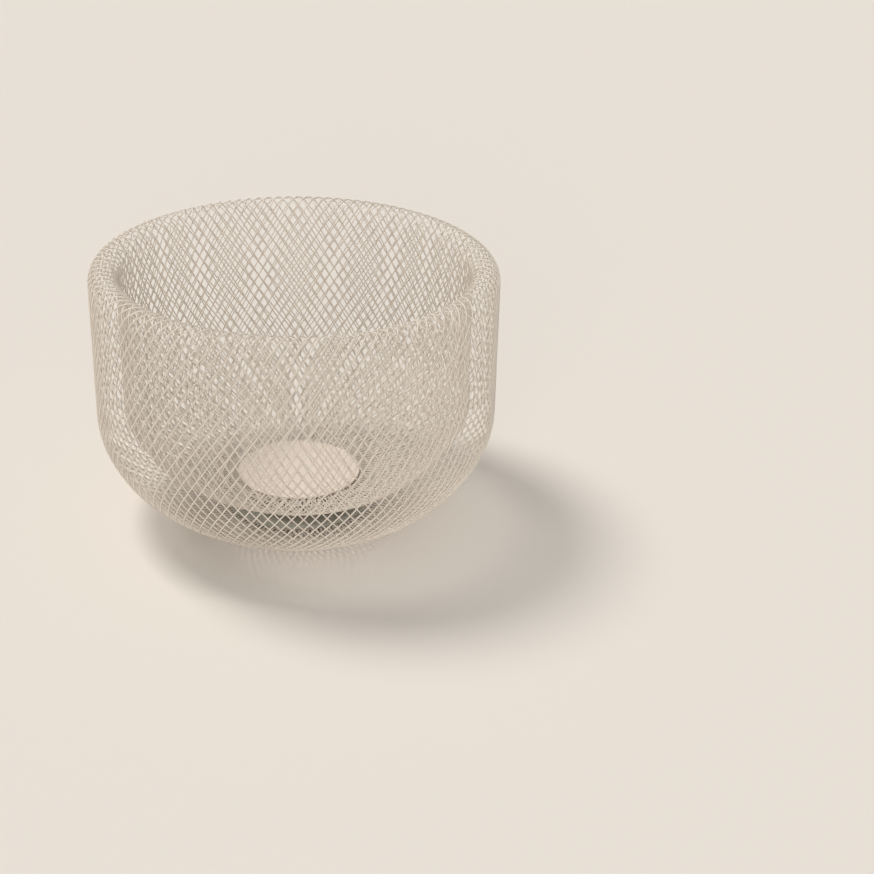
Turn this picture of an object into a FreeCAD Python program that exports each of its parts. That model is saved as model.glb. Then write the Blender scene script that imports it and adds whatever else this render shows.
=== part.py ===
"""Double-walled wire mesh bowl: one folded sleeve of crossing wires, closed by discs at both ends.

Frame: origin on the table under the bowl's axis, +Z up, millimetres. The sleeve rises from the base,
folds over the rim and hangs down inside as the inner wall. Its two ends are pinched between plates:
the outer end between the bottom plate and the base disc, the inner end between the inner clamp plate
and the floor disc. One screw up the middle holds the whole stack together.
"""
import FreeCAD, Part

import math
import os

import Sketcher

SIZES = {
    "wire_diameter": 0.8,
    "bowl_radius": 125.0,
    "rim_top": 166.55,
    "fold_radius": 9.22,
    "outer_wire_end": 29.0,
    "outer_heel_radius": 60.4,
    "outer_heel_turn": 24.0,
    "outer_belly_radius": 77.7,
    "outer_shoulder_radius": 53.0,
    "outer_shoulder_turn": 22.8,
    "inner_wire_end": 29.0,
    "inner_heel_radius": 65.0,
    "inner_heel_turn": 36.0,
    "inner_belly_radius": 91.0,
    "inner_shoulder_radius": 13.5,
    "inner_shoulder_turn": 25.0,
    "floor_height": 16.2,
    "felt_thickness": 2.0,
    "felt_inner_radius": 31.0,
    "felt_outer_radius": 43.0,
    "plate_thickness": 1.2,
    "bottom_plate_radius": 45.0,
    "dish_radius": 22.0,
    "dish_edge_radius": 26.0,
    "base_disc_radius": 48.5,
    "disc_thickness": 1.5,
    "disc_edge_round": 0.6,
    "floor_disc_radius": 39.0,
    "clamp_plate_radius": 37.0,
    "spacer_radius": 8.0,
    "boss_radius": 5.0,
    "boss_height": 11.0,
    "boss_clearance": 0.25,
    "screw_radius": 2.5,
    "screw_hole_radius": 2.75,
    "screw_length": 14.0,
    "screw_head_radius": 4.75,
    "screw_head_height": 2.6,
    "screw_head_round": 0.8,
    "hex_socket_radius": 1.75,
    "hex_socket_depth": 1.6,
}

doc = FreeCAD.newDocument("mesh_bowl")
sheet = doc.addObject("Spreadsheet::Sheet", "Sizes")
subparts = []


def fill_sheet():
    """One row per driving size: its name, its value, and the name again as the cell's alias."""
    for row, (name, value) in enumerate(SIZES.items(), start=1):
        sheet.set(f"A{row}", name)
        sheet.set(f"B{row}", str(value))
        sheet.setAlias(f"B{row}", name)
    doc.recompute()


def size(name):
    """The expression that reads one driving size."""
    return f"Sizes.{name}"


def total(*terms):
    """The expression that adds up driving sizes and other expressions."""
    return "(" + " + ".join(terms) + ")"


def less(whole, *terms):
    """The expression that takes terms away from the whole."""
    return "(" + " - ".join((whole,) + terms) + ")"


# The sleeve is two wires thick. Each wall turns from floor to wall along three arcs, whose radii
# are those of the sleeve's hidden side.
SKIN = "2 * Sizes.wire_diameter"
CORNER_PARTS = ("heel", "belly", "shoulder")

# Heights of the stack along the axis, from the table up.
MESH_BOTTOM = total(size("felt_thickness"), size("plate_thickness"))
MESH_TOP = total(MESH_BOTTOM, SKIN)
BASE_TOP = total(MESH_TOP, size("disc_thickness"))
INNER_MESH_BOTTOM = total(MESH_BOTTOM, size("floor_height"))
FLOOR_UNDERSIDE = total(INNER_MESH_BOTTOM, SKIN)


def number(name):
    """One driving size as a plain number, for a sketch's first guess."""
    return SIZES[name]


def keep(piece, label):
    """Name a sub-part and list it for export."""
    piece.Label = label
    piece.Placement = FreeCAD.Placement()
    subparts.append(piece)


def drive(sketch, expression, kind, *where):
    """Add one dimension to a sketch and bind it to the sheet."""
    index = sketch.addConstraint(Sketcher.Constraint(kind, *where))
    sketch.setExpression(f"Constraints[{index}]", expression)


def sleeve_lining(name):
    """The sleeve's hidden side, which faces the hollow between the walls, as an open half section.

    It runs out along the base, up round the heel, belly and shoulder, up the outer wall, over the
    rim, down the inner wall and back in under the bowl's floor.
    """
    sketch = doc.addObject("Sketcher::SketchObject", name)
    sketch.Placement = FreeCAD.Placement(FreeCAD.Vector(), FreeCAD.Rotation(FreeCAD.Vector(1, 0, 0), 90))
    skin = 2 * number("wire_diameter")
    fold = number("fold_radius") - skin
    wall = number("bowl_radius") - skin
    mesh_bottom = number("felt_thickness") + number("plate_thickness")
    rim_centre = number("rim_top") - number("fold_radius")
    quarter = math.pi / 2

    def down(turn):
        """The direction from an arc's centre to its point that slopes by turn."""
        return FreeCAD.Vector(math.sin(turn), -math.cos(turn), 0)

    def corner(side, wall_at, floor_at):
        """One wall's heel, belly and shoulder: their centres, radii and end angles."""
        heel, belly, shoulder = (number(f"{side}_{part}_radius") for part in CORNER_PARTS)
        heel_end = math.radians(number(f"{side}_heel_turn"))
        belly_end = quarter - math.radians(number(f"{side}_shoulder_turn"))
        reach = (
            heel * math.sin(heel_end)
            + belly * (math.sin(belly_end) - math.sin(heel_end))
            + shoulder * (1 - math.sin(belly_end))
        )
        heel_centre = FreeCAD.Vector(wall_at - reach, floor_at + heel, 0)
        belly_centre = heel_centre + down(heel_end) * (heel - belly)
        shoulder_centre = belly_centre + down(belly_end) * (belly - shoulder)
        ends = (-quarter, heel_end - quarter, belly_end - quarter, 0.0)
        return (heel_centre, belly_centre, shoulder_centre), (heel, belly, shoulder), ends

    def arc(centre, radius, start, end):
        circle = Part.Circle(centre, FreeCAD.Vector(0, 0, 1), radius)
        return sketch.addGeometry(Part.ArcOfCircle(circle, start, end))

    def line(x0, y0, x1, y1):
        return sketch.addGeometry(Part.LineSegment(FreeCAD.Vector(x0, y0, 0), FreeCAD.Vector(x1, y1, 0)))

    def join(first, first_end, second, second_end):
        sketch.addConstraint(Sketcher.Constraint("Tangent", first, first_end, second, second_end))

    runs = []
    for side, wall_at, floor_at in (
        ("outer", wall, mesh_bottom + skin),
        ("inner", wall - 2 * fold, mesh_bottom + number("floor_height")),
    ):
        centres, radii, ends = corner(side, wall_at, floor_at)
        floor = line(number(f"{side}_wire_end"), floor_at, centres[0].x, floor_at)
        arcs = [arc(centres[k], radii[k], ends[k], ends[k + 1]) for k in range(3)]
        upright = line(wall_at, centres[2].y, wall_at, rim_centre)
        runs.append((floor, arcs, upright))
    rim = arc(FreeCAD.Vector(wall - fold, rim_centre, 0), fold, 0, math.pi)

    for floor, arcs, upright in runs:
        sketch.addConstraint(Sketcher.Constraint("Horizontal", floor))
        sketch.addConstraint(Sketcher.Constraint("Vertical", upright))
        join(floor, 2, arcs[0], 1)
        join(arcs[0], 2, arcs[1], 1)
        join(arcs[1], 2, arcs[2], 1)
        join(arcs[2], 2, upright, 1)
    outer_upright, inner_upright = runs[0][2], runs[1][2]
    join(outer_upright, 2, rim, 1)
    join(rim, 2, inner_upright, 2)

    for side, floor_height, (floor, arcs, _) in zip(("outer", "inner"), (MESH_TOP, INNER_MESH_BOTTOM), runs):
        for piece, part in zip(arcs, CORNER_PARTS):
            radius = f"{side}_{part}_radius"
            drive(sketch, size(radius), "Radius", piece, number(radius))
        for piece, part in ((arcs[0], "heel"), (arcs[2], "shoulder")):
            turn = f"{side}_{part}_turn"
            drive(sketch, size(turn), "Angle", piece, math.radians(number(turn)))
        end = f"{side}_wire_end"
        drive(sketch, size(end), "DistanceX", -1, 1, floor, 1, number(end))
        drive(sketch, floor_height, "DistanceY", -1, 1, floor, 1, mesh_bottom)
    drive(sketch, less(size("fold_radius"), SKIN), "Radius", rim, fold)
    drive(sketch, less(size("bowl_radius"), SKIN), "DistanceX", -1, 1, outer_upright, 1, wall)
    drive(sketch, less(size("rim_top"), size("fold_radius")), "DistanceY", -1, 1, rim, 3, rim_centre)
    return sketch


def one_wire_out(name, profile, fill):
    """The profile moved outward by one wire, or the band between the two if fill is true."""
    band = doc.addObject("Part::Offset2D", name)
    band.Source = profile
    band.Mode = "Skin"
    band.Fill = fill
    band.Value = -number("wire_diameter")
    band.setExpression("Value", "-Sizes.wire_diameter")
    return band


def wire_layer(label, profile):
    """A folded shell, one wire thick, for the layer in which one family of wires lies."""
    shell = doc.addObject("Part::Revolution", label)
    shell.Source = one_wire_out(f"{label}_band", profile, True)
    shell.Axis = FreeCAD.Vector(0, 0, 1)
    shell.Base = FreeCAD.Vector(0, 0, 0)
    shell.Angle = 360
    shell.Solid = False
    keep(shell, label)


def origin_plane(body, role):
    """The body's own origin plane with the given role."""
    return next(plane for plane in body.Origin.OriginFeatures if plane.Role == role)


def turned_body(label, corners):
    """A body of revolution about Z, from its half section's corners given as (radius, height)."""
    body = doc.addObject("PartDesign::Body", label)
    sketch = body.newObject("Sketcher::SketchObject", f"{label}_section")
    sketch.AttachmentSupport = [(origin_plane(body, "XZ_Plane"), "")]
    sketch.MapMode = "FlatFace"
    count = len(corners)
    ring = [FreeCAD.Vector(20 + 10 * math.cos(2 * math.pi * k / count),
                           20 + 10 * math.sin(2 * math.pi * k / count), 0) for k in range(count)]
    for k in range(count):
        sketch.addGeometry(Part.LineSegment(ring[k], ring[(k + 1) % count]))
    for k in range(count):
        sketch.addConstraint(Sketcher.Constraint("Coincident", k, 2, (k + 1) % count, 1))
    for k, (radius, height) in enumerate(corners):
        if radius is None:
            sketch.addConstraint(Sketcher.Constraint("PointOnObject", k, 1, -2))
        else:
            drive(sketch, radius, "DistanceX", -1, 1, k, 1, ring[k].x)
        if height is None:
            sketch.addConstraint(Sketcher.Constraint("PointOnObject", k, 1, -1))
        else:
            drive(sketch, height, "DistanceY", -1, 1, k, 1, ring[k].y)
    turn = body.newObject("PartDesign::Revolution", f"{label}_turn")
    turn.Profile = sketch
    turn.ReferenceAxis = (sketch, ["V_Axis"])
    turn.Angle = 360
    keep(body, label)
    doc.recompute()
    return body


def round_edges(body, chosen, radius_name):
    """Round the body's circular edges for which chosen(radius, height) is true."""
    feature = body.Tip
    names = []
    for index, edge in enumerate(feature.Shape.Edges, start=1):
        curve = edge.Curve
        if isinstance(curve, Part.Circle) and chosen(curve.Radius, curve.Center.z):
            names.append(f"Edge{index}")
    fillet = body.newObject("PartDesign::Fillet", f"{body.Label}_round")
    fillet.Base = (feature, names)
    fillet.Radius = number(radius_name)
    fillet.setExpression("Radius", size(radius_name))
    doc.recompute()


def disc(label, radius, bottom, hole):
    """A flat round sheet with rounded rim edges and, unless hole is None, a centre hole."""
    top = total(bottom, size("disc_thickness"))
    body = turned_body(label, [(hole, bottom), (radius, bottom), (radius, top), (hole, top)])
    rim = max(edge.Curve.Radius for edge in body.Shape.Edges if isinstance(edge.Curve, Part.Circle))
    round_edges(body, lambda r, z: abs(r - rim) < 1e-6, "disc_edge_round")


def dished_plate(label, radius, hole, flange_bottom):
    """A pressed plate whose flange backs the wires and whose centre rises past their ends."""
    thickness = size("plate_thickness")
    flange_top = total(flange_bottom, thickness)
    centre_bottom = total(flange_bottom, SKIN)
    centre_top = total(flange_top, SKIN)
    turned_body(label, [
        (hole, centre_bottom),
        (size("dish_radius"), centre_bottom),
        (size("dish_edge_radius"), flange_bottom),
        (radius, flange_bottom),
        (radius, flange_top),
        (size("dish_edge_radius"), flange_top),
        (size("dish_radius"), centre_top),
        (hole, centre_top),
    ])


def felt_ring():
    """The soft ring under the bottom plate that the bowl stands on."""
    inner, outer = size("felt_inner_radius"), size("felt_outer_radius")
    top = size("felt_thickness")
    turned_body("felt_ring", [(inner, None), (outer, None), (outer, top), (inner, top)])


def threaded_boss():
    """The internally threaded boss welded under the floor disc, which takes the centre screw."""
    bottom = less(FLOOR_UNDERSIDE, size("boss_height"))
    bore, outer = size("screw_radius"), size("boss_radius")
    turned_body("threaded_boss", [
        (bore, bottom), (outer, bottom), (outer, FLOOR_UNDERSIDE), (bore, FLOOR_UNDERSIDE),
    ])


def spacer_tube():
    """The tube between the base disc and the inner clamp plate, which sets the gap between floors."""
    bore = total(size("boss_radius"), size("boss_clearance"))
    outer = size("spacer_radius")
    top = less(FLOOR_UNDERSIDE, size("plate_thickness"))
    turned_body("spacer_tube", [(bore, BASE_TOP), (outer, BASE_TOP), (outer, top), (bore, top)])


def centre_screw():
    """The pan head screw that pulls the stack together from below."""
    seat = total(size("felt_thickness"), SKIN)
    head_bottom = less(seat, size("screw_head_height"))
    tip = total(seat, size("screw_length"))
    head, shank = size("screw_head_radius"), size("screw_radius")
    body = turned_body("centre_screw", [
        (None, head_bottom), (head, head_bottom), (head, seat), (shank, seat), (shank, tip), (None, tip),
    ])
    low = min(vertex.Z for vertex in body.Shape.Vertexes)
    round_edges(body, lambda r, z: abs(z - low) < 1e-6, "screw_head_round")
    socket = body.newObject("PartDesign::SubtractivePrism", "centre_screw_socket")
    socket.Polygon = 6
    socket.Circumradius = number("hex_socket_radius")
    socket.setExpression("Circumradius", size("hex_socket_radius"))
    socket.Height = number("hex_socket_depth")
    socket.setExpression("Height", size("hex_socket_depth"))
    socket.AttachmentSupport = [(origin_plane(body, "XY_Plane"), "")]
    socket.MapMode = "FlatFace"
    socket.setExpression("AttachmentOffset.Base.z", head_bottom)
    doc.recompute()


def build():
    """Every sub-part, from the table up."""
    fill_sheet()
    felt_ring()
    hole = size("screw_hole_radius")
    boss_hole = total(size("boss_radius"), size("boss_clearance"))
    dished_plate("bottom_plate", size("bottom_plate_radius"), hole, size("felt_thickness"))
    disc("base_disc", size("base_disc_radius"), MESH_TOP, hole)
    spacer_tube()
    flange_bottom = less(INNER_MESH_BOTTOM, size("plate_thickness"))
    dished_plate("inner_clamp_plate", size("clamp_plate_radius"), boss_hole, flange_bottom)
    disc("floor_disc", size("floor_disc_radius"), FLOOR_UNDERSIDE, None)
    threaded_boss()
    centre_screw()
    lining = sleeve_lining("sleeve_lining")
    wire_layer("left_hand_wires", lining)
    wire_layer("right_hand_wires", one_wire_out("between_the_layers", lining, False))
    doc.recompute()


def check():
    """Stop on any failed object or any sub-part that isn't a valid solid."""
    for thing in doc.Objects:
        if {"Invalid", "Error"} & set(thing.State):
            raise RuntimeError(f"{thing.Label} failed: {thing.State}")
    for piece in subparts:
        shape = piece.Shape
        if shape.isNull() or not shape.isValid() or not shape.Solids:
            raise RuntimeError(f"{piece.Label} is not a valid solid")


def export():
    """Write each sub-part to its own file and say how large it is."""
    os.makedirs("parts", exist_ok=True)
    for piece in subparts:
        piece.Shape.exportStep(f"parts/{piece.Label}.step")
        box = piece.Shape.BoundBox
        print(f"{piece.Label}: {piece.Shape.Volume / 1000:.2f} cm3, r {box.XMax:.2f}, "
              f"z {box.ZMin:.2f} to {box.ZMax:.2f}, solids {len(piece.Shape.Solids)}")


build()
check()
export()
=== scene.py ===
"""The wire mesh bowl's looks: real wires in place of the two shells, and a finish on every piece."""

import math

import bpy
import numpy as np
from mathutils import Matrix, Vector


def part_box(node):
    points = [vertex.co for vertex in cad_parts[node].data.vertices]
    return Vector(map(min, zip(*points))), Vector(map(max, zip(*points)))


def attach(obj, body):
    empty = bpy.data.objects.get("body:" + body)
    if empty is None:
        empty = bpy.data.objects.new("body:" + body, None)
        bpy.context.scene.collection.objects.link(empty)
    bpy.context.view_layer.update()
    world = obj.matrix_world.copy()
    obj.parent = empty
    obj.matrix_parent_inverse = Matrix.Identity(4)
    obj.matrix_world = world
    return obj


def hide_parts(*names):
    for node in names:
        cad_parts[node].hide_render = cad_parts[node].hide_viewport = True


MM = 0.001
BODY = "root"

# Each wall's heel, belly and shoulder: radii on the sleeve's hidden side, and how far the sleeve has
# turned up at the end of each. Then where the wires end under the discs, and the rim's outer radius.
# The other sizes of the half section are read from the frame.
OUTER_RADII = (60.4 * MM, 77.7 * MM, 53.0 * MM)
OUTER_TURNS = (0.0, math.radians(24.0), math.radians(90.0 - 22.8), math.radians(90.0))
INNER_RADII = (65.0 * MM, 91.0 * MM, 13.5 * MM)
INNER_TURNS = (0.0, math.radians(36.0), math.radians(90.0 - 25.0), math.radians(90.0))
WIRE_END_RADIUS = 29.0 * MM
FOLD_RADIUS = 9.22 * MM

# The mesh: how many wires each family has, how far they lean from upright on the outer wall, and
# how deep the welds have sunk each family into the other, as a part of the wire's diameter.
WIRES = 112
WALL_LEAN = math.radians(35.0)
WELD_DEPTH = 0.3
TUBE_SIDES = 8

# Longest steps along the half section.
STRAIGHT_STEP = 6.2 * MM
CORNER_STEP = 5.0 * MM
RIM_STEPS = 14

# The rim's crest, as seen from a little above: both families cross there.
CREST_SLOPE = math.radians(207.0)

# The stage: half the floor's width, the sines of the heights where the sky starts and stops fading,
# and the camera's place, pitch and roll.
FLOOR_HALF = 100.0
SKY_FADE = (0.22, 0.42)
HORIZON = (0.86, 0.84, 0.81)
ZENITH = (0.27, 0.27, 0.27)
CAMERA_PLACE = (0.1193, -0.9544, 0.5411)
CAMERA_PITCH = math.radians(26.842)
CAMERA_ROLL = math.radians(-2.452)


def read_frame():
    """The sleeve's sizes, from where the CAD nodes lie."""
    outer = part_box("right_hand_wires")[1]
    wire = outer.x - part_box("left_hand_wires")[1].x
    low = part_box("right_hand_wires")[0].z
    base = low + 2 * wire
    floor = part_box("floor_disc")[0].z
    return {
        "wire": wire,
        "radius": outer.x,
        "top": outer.z,
        "base": base,
        "floor": floor,
    }


class Section:
    """The half section of the surface between the two layers, walked from wire end to wire end."""

    def __init__(self, sizes):
        self.radii, self.heights, self.slopes, self.lengths = [], [], [], []
        wire = sizes["wire"]
        fold = FOLD_RADIUS - wire
        wall = sizes["radius"] - wire
        inner_wall = wall - 2 * fold
        rim_centre = sizes["top"] - FOLD_RADIUS
        outer = [radius + wire for radius in OUTER_RADII]
        inner = [radius - wire for radius in INNER_RADII]
        inner_floor = sizes["floor"] - wire

        self.start(WIRE_END_RADIUS, sizes["base"] - wire, 0.0)
        self.straight(wall - self.reach(outer, OUTER_TURNS) - WIRE_END_RADIUS)
        for k in range(3):
            self.bend(outer[k], OUTER_TURNS[k + 1] - OUTER_TURNS[k])
        self.straight(rim_centre - self.heights[-1])
        self.bend(fold, math.pi, RIM_STEPS)
        self.straight(rim_centre - inner_floor - self.rise(inner, INNER_TURNS))
        for k in (2, 1, 0):
            self.bend(-inner[k], INNER_TURNS[k] - INNER_TURNS[k + 1])
        self.straight(self.radii[-1] - WIRE_END_RADIUS)
        self.wall_radius = wall
        self.crest = int(np.argmin(np.abs(np.array(self.slopes) - CREST_SLOPE)))

    @staticmethod
    def reach(radii, turns):
        """How far out a corner's three arcs go."""
        return sum(radii[k] * (math.sin(turns[k + 1]) - math.sin(turns[k])) for k in range(3))

    @staticmethod
    def rise(radii, turns):
        """How far a corner's three arcs climb."""
        return sum(radii[k] * (math.cos(turns[k]) - math.cos(turns[k + 1])) for k in range(3))

    def start(self, radius, height, slope):
        self.radii.append(radius)
        self.heights.append(height)
        self.slopes.append(slope)
        self.lengths.append(0.0)

    def step(self, along, away, slope, length):
        """Move by along in the direction of travel and away to its left, and face the new slope."""
        old = self.slopes[-1]
        self.radii.append(self.radii[-1] + along * math.cos(old) - away * math.sin(old))
        self.heights.append(self.heights[-1] + along * math.sin(old) + away * math.cos(old))
        self.slopes.append(slope)
        self.lengths.append(self.lengths[-1] + length)

    def straight(self, length):
        count = max(1, math.ceil(length / STRAIGHT_STEP))
        for _ in range(count):
            self.step(length / count, 0.0, self.slopes[-1], length / count)

    def bend(self, radius, turn, count=None):
        """Follow an arc that turns to the left by turn, or to the right where both are negative."""
        length = abs(radius * turn)
        count = count or max(2, math.ceil(length / CORNER_STEP))
        part = turn / count
        for _ in range(count):
            along = abs(radius) * math.sin(abs(part))
            away = radius * (1 - math.cos(part))
            self.step(along, away, self.slopes[-1] + part, length / count)


def trellis_turn(section, cell_side):
    """How far round the axis a wire has travelled at each point of the section.

    Every cell of the mesh is a rhombus with the same side, so the wires stand up more steeply
    where the bowl is narrow.
    """
    radii = np.array(section.radii)
    lengths = np.array(section.lengths)
    lean = np.arcsin(np.minimum(0.99, math.pi * radii / (WIRES * cell_side)))
    rate = np.tan(lean) / radii
    steps = np.diff(lengths) * (rate[1:] + rate[:-1]) / 2
    return np.concatenate(([0.0], np.cumsum(steps))), lean


def wire_family(name, section, wire, side, hand):
    """One mesh of all the wires of one family. side is +1 for the outer layer and -1 for the hidden one."""
    offset = side * wire / 2 * (1 - WELD_DEPTH)
    cell_side = math.pi * section.wall_radius / (WIRES * math.sin(WALL_LEAN))
    turn, lean = trellis_turn(section, cell_side)
    radii = np.array(section.radii)
    heights = np.array(section.heights)
    slopes = np.array(section.slopes)
    count = len(radii)
    outward = np.stack([np.sin(slopes), -np.cos(slopes)], axis=1)
    radial = radii + offset * outward[:, 0]
    height = heights + offset * outward[:, 1]
    turn = turn - turn[section.crest]

    ring = np.arange(TUBE_SIDES) * 2 * math.pi / TUBE_SIDES
    points = []
    for number in range(WIRES):
        angle = hand * turn + number * 2 * math.pi / WIRES
        cos, sin = np.cos(angle), np.sin(angle)
        centre = np.stack([radial * cos, radial * sin, height], axis=1)
        normal = np.stack([outward[:, 0] * cos, outward[:, 0] * sin, outward[:, 1]], axis=1)
        uphill = np.stack([np.cos(slopes) * cos, np.cos(slopes) * sin, np.sin(slopes)], axis=1)
        around = np.stack([-sin, cos, np.zeros(count)], axis=1)
        forward = np.cos(lean)[:, None] * uphill + hand * np.sin(lean)[:, None] * around
        across = np.cross(forward, normal)
        tube = (
            centre[:, None, :]
            + wire / 2 * np.cos(ring)[None, :, None] * normal[:, None, :]
            + wire / 2 * np.sin(ring)[None, :, None] * across[:, None, :]
        )
        points.append(tube.reshape(-1, 3))
    verts = np.concatenate(points)

    faces = []
    for number in range(WIRES):
        base = number * count * TUBE_SIDES
        for k in range(count - 1):
            low = base + k * TUBE_SIDES
            for j in range(TUBE_SIDES):
                nxt = (j + 1) % TUBE_SIDES
                faces.append((low + j, low + nxt, low + nxt + TUBE_SIDES, low + j + TUBE_SIDES))
        faces.append(tuple(base + j for j in reversed(range(TUBE_SIDES))))
        end = base + (count - 1) * TUBE_SIDES
        faces.append(tuple(end + j for j in range(TUBE_SIDES)))
    mesh = bpy.data.meshes.new(name)
    mesh.from_pydata(verts.tolist(), [], faces)
    mesh.validate()
    mesh.shade_smooth()
    obj = bpy.data.objects.new(name, mesh)
    bpy.context.scene.collection.objects.link(obj)
    return obj


def material(name, colour, roughness, metallic=0.0):
    """A new material with a Principled shader, and the parts that a finish builds on."""
    mat = bpy.data.materials.new(name)
    mat.use_nodes = True
    nodes, links = mat.node_tree.nodes, mat.node_tree.links
    shader = nodes["Principled BSDF"]
    shader.inputs["Base Color"].default_value = (*colour, 1.0)
    shader.inputs["Roughness"].default_value = roughness
    shader.inputs["Metallic"].default_value = metallic
    return mat, nodes, links, shader


def object_noise(nodes, links, scale, detail=3.0):
    """Noise fixed to the object, in features per metre."""
    where = nodes.new("ShaderNodeTexCoord")
    noise = nodes.new("ShaderNodeTexNoise")
    noise.inputs["Scale"].default_value = scale
    noise.inputs["Detail"].default_value = detail
    links.new(where.outputs["Object"], noise.inputs["Vector"])
    return noise.outputs["Fac"]


def ramp(nodes, links, value, stops):
    """Map a value to colours."""
    node = nodes.new("ShaderNodeValToRGB")
    while len(node.color_ramp.elements) < len(stops):
        node.color_ramp.elements.new(0.5)
    for element, (place, colour) in zip(node.color_ramp.elements, stops):
        element.position = place
        element.color = (*colour, 1.0)
    links.new(value, node.inputs["Fac"])
    return node.outputs["Color"]


def remap(nodes, links, value, low, high):
    """Map noise to a range of plain numbers."""
    node = nodes.new("ShaderNodeMapRange")
    node.inputs["From Min"].default_value = 0.3
    node.inputs["From Max"].default_value = 0.7
    node.inputs["To Min"].default_value = low
    node.inputs["To Max"].default_value = high
    links.new(value, node.inputs["Value"])
    return node.outputs["Result"]


def bump(nodes, links, shader, height, strength, distance):
    node = nodes.new("ShaderNodeBump")
    node.inputs["Strength"].default_value = strength
    node.inputs["Distance"].default_value = distance
    links.new(height, node.inputs["Height"])
    links.new(node.outputs["Normal"], shader.inputs["Normal"])


def powder_coat(name, colour, shade, roughness):
    """Baked powder paint: an even colour that drifts slightly, with a fine orange peel."""
    mat, nodes, links, shader = material(name, colour, roughness)
    drift = object_noise(nodes, links, 35.0)
    tone = ramp(nodes, links, drift, [(0.35, shade), (0.65, colour)])
    links.new(tone, shader.inputs["Base Color"])
    peel = object_noise(nodes, links, 1800.0, 2.0)
    links.new(remap(nodes, links, peel, roughness - 0.06, roughness + 0.06), shader.inputs["Roughness"])
    bump(nodes, links, shader, peel, 0.25, 0.0001)
    return mat


def zinc_plate(name):
    """Zinc-plated steel with faint turning marks."""
    mat, nodes, links, shader = material(name, (0.60, 0.61, 0.62), 0.35, 1.0)
    cloud = object_noise(nodes, links, 400.0)
    tone = ramp(nodes, links, cloud, [(0.3, (0.50, 0.51, 0.52)), (0.7, (0.66, 0.67, 0.68))])
    links.new(tone, shader.inputs["Base Color"])
    links.new(remap(nodes, links, cloud, 0.28, 0.45), shader.inputs["Roughness"])
    return mat


def felt(name):
    """Pressed grey felt with mottled fibres."""
    mat, nodes, links, shader = material(name, (0.12, 0.115, 0.105), 0.95)
    fibre = object_noise(nodes, links, 2500.0, 6.0)
    tone = ramp(nodes, links, fibre, [(0.3, (0.06, 0.058, 0.052)), (0.7, (0.17, 0.165, 0.15))])
    links.new(tone, shader.inputs["Base Color"])
    shader.inputs["Sheen Weight"].default_value = 0.4
    bump(nodes, links, shader, fibre, 0.6, 0.0004)
    return mat


def dress(piece, mat):
    piece.data.materials.clear()
    piece.data.materials.append(mat)


def make_floor():
    """A wide pale floor."""
    mesh = bpy.data.meshes.new("floor")
    corner_places = [(x * FLOOR_HALF, y * FLOOR_HALF, 0) for x, y in ((-1, -1), (1, -1), (1, 1), (-1, 1))]
    mesh.from_pydata(corner_places, [], [(0, 1, 2, 3)])
    floor = bpy.data.objects.new("floor", mesh)
    bpy.context.scene.collection.objects.link(floor)
    mat, _, _, shader = material("pale_floor", (0.77, 0.725, 0.67), 0.9)
    shader.inputs["Specular IOR Level"].default_value = 0.1
    dress(floor, mat)


def sunlight(name, direction, energy, softness):
    """An even light from far away. softness is its apparent width in degrees."""
    sun = bpy.data.lights.new(name, "SUN")
    sun.energy = energy
    sun.color = (1.0, 0.975, 0.94)
    sun.angle = math.radians(softness)
    obj = bpy.data.objects.new(name, sun)
    obj.rotation_euler = Vector(direction).to_track_quat("-Z", "Y").to_euler()
    bpy.context.scene.collection.objects.link(obj)


def make_light():
    """A studio that is bright round the horizon, a high key from the left rear and a low front fill."""
    world = bpy.data.worlds.new("studio")
    bpy.context.scene.world = world
    world.use_nodes = True
    nodes, links = world.node_tree.nodes, world.node_tree.links
    direction = nodes.new("ShaderNodeTexCoord")
    parts = nodes.new("ShaderNodeSeparateXYZ")
    links.new(direction.outputs["Generated"], parts.inputs["Vector"])
    sky = ramp(nodes, links, parts.outputs["Z"], [(SKY_FADE[0], HORIZON), (SKY_FADE[1], ZENITH)])
    links.new(sky, nodes["Background"].inputs["Color"])
    sunlight("key", (0.65, -0.35, -1.3), 2.3, 20.0)
    sunlight("fill", (0.0, 1.0, -0.3), 0.9, 35.0)
    bpy.context.scene.view_settings.view_transform = "Standard"


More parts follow.
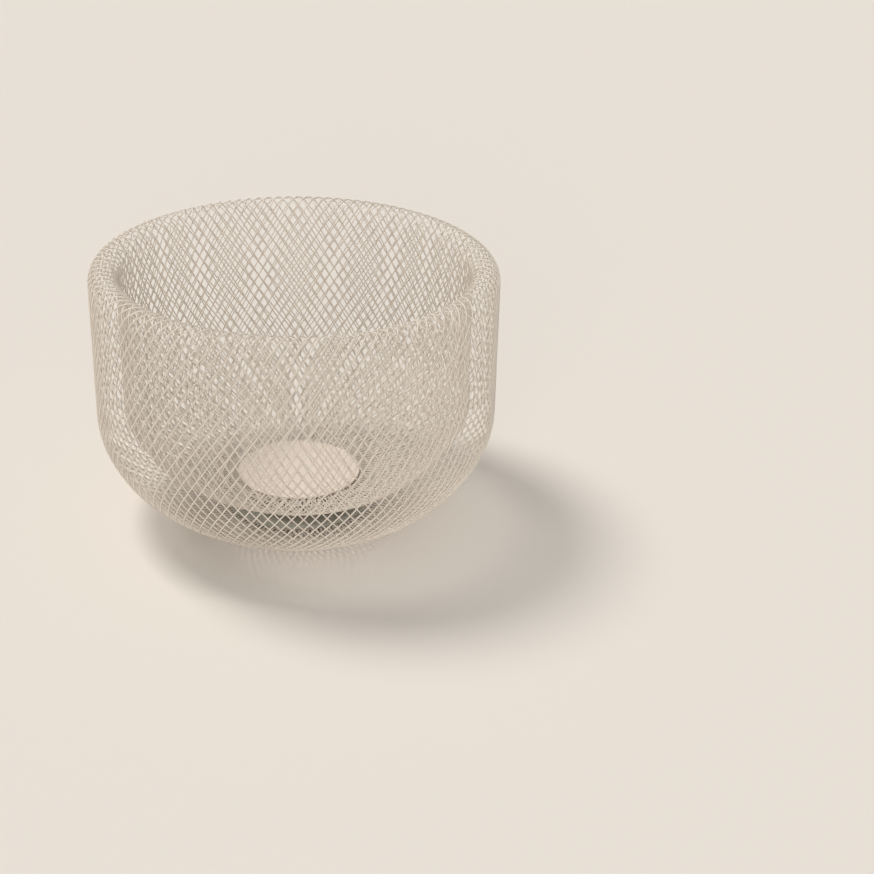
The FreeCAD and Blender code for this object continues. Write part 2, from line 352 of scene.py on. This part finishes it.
def make_camera():
    """The camera, looking down along +Y at the bowl, with a slight roll."""
    camera = bpy.data.cameras.new("camera")
    camera.lens = 69.05
    camera.sensor_width = 36.0
    camera.shift_x = -0.0553
    camera.shift_y = -0.0117
    camera.clip_start, camera.clip_end = 0.05, 50.0
    forward = Vector((0, math.cos(CAMERA_PITCH), -math.sin(CAMERA_PITCH)))
    level = Vector((1, 0, 0))
    upright = Vector((0, math.sin(CAMERA_PITCH), math.cos(CAMERA_PITCH)))
    right = level * math.cos(CAMERA_ROLL) - upright * math.sin(CAMERA_ROLL)
    up = level * math.sin(CAMERA_ROLL) + upright * math.cos(CAMERA_ROLL)
    turn = Matrix((right, up, -forward)).transposed()
    obj = bpy.data.objects.new("camera", camera)
    obj.matrix_world = Matrix.Translation(CAMERA_PLACE) @ turn.to_4x4()
    bpy.context.scene.collection.objects.link(obj)
    bpy.context.scene.camera = obj


def make_wires():
    """Both families of wire, each in place of its shell."""
    sizes = read_frame()
    section = Section(sizes)
    paint = powder_coat("wire_paint", (0.755, 0.69, 0.615), (0.71, 0.645, 0.57), 0.36)
    for name, side, hand in (("right_hand", 1, 1), ("left_hand", -1, -1)):
        wires = wire_family(f"{name}_mesh", section, sizes["wire"], side, hand)
        dress(wires, paint)
        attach(wires, BODY)
        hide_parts(f"{name}_wires")


def finish_discs():
    """Materials for the CAD pieces that are shown as they are."""
    disc_paint = powder_coat("disc_paint", (0.77, 0.67, 0.585), (0.74, 0.64, 0.555), 0.5)
    # The base disc's colour is its own neutral grey paint, darkened further as painted shade for the deep
    # shadow under the inner bowl.
    base_grey_and_painted_shade = powder_coat("base_grey_and_painted_shade", (0.40, 0.385, 0.335), (0.37, 0.355, 0.305), 0.5)
    zinc = zinc_plate("zinc")
    for name, mat in {
        "floor_disc": disc_paint,
        "inner_clamp_plate": disc_paint,
        "bottom_plate": disc_paint,
        "base_disc": base_grey_and_painted_shade,
        "threaded_boss": zinc,
        "spacer_tube": zinc,
        "centre_screw": zinc,
        "felt_ring": felt("felt"),
    }.items():
        dress(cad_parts[name], mat)


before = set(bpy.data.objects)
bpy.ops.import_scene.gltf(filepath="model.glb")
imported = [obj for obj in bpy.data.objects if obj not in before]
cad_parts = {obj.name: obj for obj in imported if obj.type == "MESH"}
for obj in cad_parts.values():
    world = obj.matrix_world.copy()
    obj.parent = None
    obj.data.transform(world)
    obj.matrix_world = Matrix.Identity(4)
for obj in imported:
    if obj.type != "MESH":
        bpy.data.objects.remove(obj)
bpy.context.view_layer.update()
make_camera()
make_light()
make_floor()
make_wires()
finish_discs()
